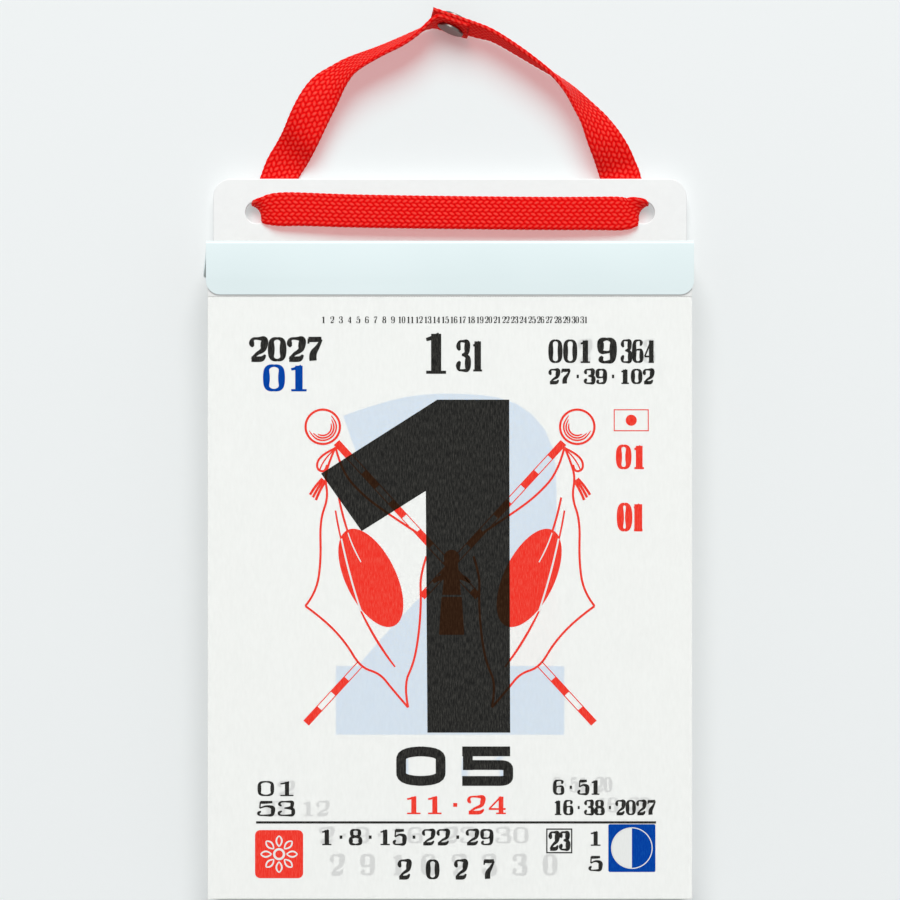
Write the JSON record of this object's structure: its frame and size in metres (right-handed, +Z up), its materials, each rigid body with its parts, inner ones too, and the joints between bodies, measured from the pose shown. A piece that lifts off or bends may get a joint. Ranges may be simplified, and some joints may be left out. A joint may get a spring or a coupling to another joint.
{
  "type": "tear-off day calendar",
  "caption": "Hanging tear-off day calendar: a thick pad of daily sheets under a folded tin header, wired to a card board with a braided strap loop.",
  "frame": {"origin": "hanging point: underside of the strap's riveted lap, on the rivet's axis", "axes": "+Z up, +Y into the wall, +X to the viewer's right; the printed side faces -Y"},
  "size_m": [0.1504, 0.0237, 0.2751],
  "materials": {
    "strap": "flat braided cord",
    "rivet": "plated, satin",
    "board_card": "coated white card",
    "header_tin": "pale blue enamel, satin",
    "wire": "tinned flat wire",
    "sheet_paper": "thin printed paper",
    "pad_paper": "stacked thin paper"
  },
  "bodies": {
    "hanging_loop": {"strap_left_leg": "strap", "strap_right_leg": "strap", "rivet_head": "rivet", "rivet_top_cap": "rivet"},
    "board": {"strap_front": "strap", "backing_board": "board_card", "tin_header": "header_tin", "binding_wire_left": "wire", "binding_wire_right": "wire", "stub_day_1": "sheet_paper", "stub_day_2": "sheet_paper", "stub_day_3": "sheet_paper", "sheets_january": "pad_paper", "sheets_february": "pad_paper", "sheets_march": "pad_paper", "sheets_april": "pad_paper", "sheets_may": "pad_paper", "sheets_june": "pad_paper", "sheets_july": "pad_paper", "sheets_august": "pad_paper", "sheets_september": "pad_paper", "sheets_october": "pad_paper", "sheets_november": "pad_paper", "sheets_december": "pad_paper"},
    "day_3": {"sheet_day_3": "sheet_paper"},
    "day_2": {"sheet_day_2": "sheet_paper"},
    "day_1": {"sheet_day_1": "sheet_paper"}
  },
  "joints": [
    {"name": "board_swing", "type": "hinge", "parent": "hanging_loop", "child": "board", "pos_m": [0, 0.0036, -0.0476], "axis": [-1, 0, 0], "range_deg": [0, 85]},
    {"name": "sheet_lift", "type": "hinge", "parent": "board", "child": "day_3", "pos_m": [0, -0.01695, -0.0855], "axis": [-1, 0, 0], "range_deg": [0, 110]},
    {"name": "tear_day_2", "type": "slide", "parent": "day_3", "child": "day_2", "axis": [0, 0, -1], "range_m": [0, 0.19]},
    {"name": "tear_day_1", "type": "slide", "parent": "day_2", "child": "day_1", "axis": [0, 0, -1], "range_m": [0, 0.19]}
  ]
}
